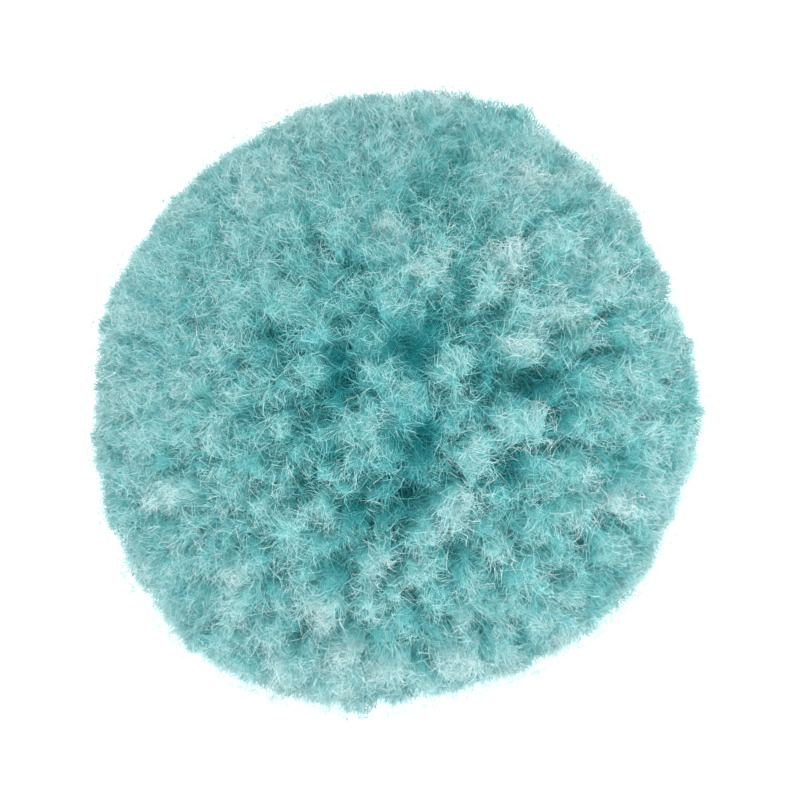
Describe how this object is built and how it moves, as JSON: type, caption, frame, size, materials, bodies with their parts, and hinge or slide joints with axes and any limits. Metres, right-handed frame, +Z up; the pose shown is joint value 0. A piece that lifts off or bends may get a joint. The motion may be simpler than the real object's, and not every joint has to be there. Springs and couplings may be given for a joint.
{
  "type": "yarn pom pom",
  "caption": "Round fluffy ball of teal cut yarn ends, tied at its hidden middle, with a small flat spot underneath to rest on.",
  "frame": {"origin": "on the floor, under the middle of the ball, at the centre of the flat spot", "axes": "+Z up, out of the flat spot and through the middle of the ball; the ball is nearly round, so +X and +Y only fix where its fuller and leaner sides lie"},
  "size_m": [0.0784, 0.0806, 0.0779],
  "materials": {
    "yarn": "brushed soft wool-like yarn, matt, pale teal at the cut ends and deep teal between the tufts"
  },
  "bodies": {
    "root": {"pompom": "yarn"}
  },
  "joints": []
}
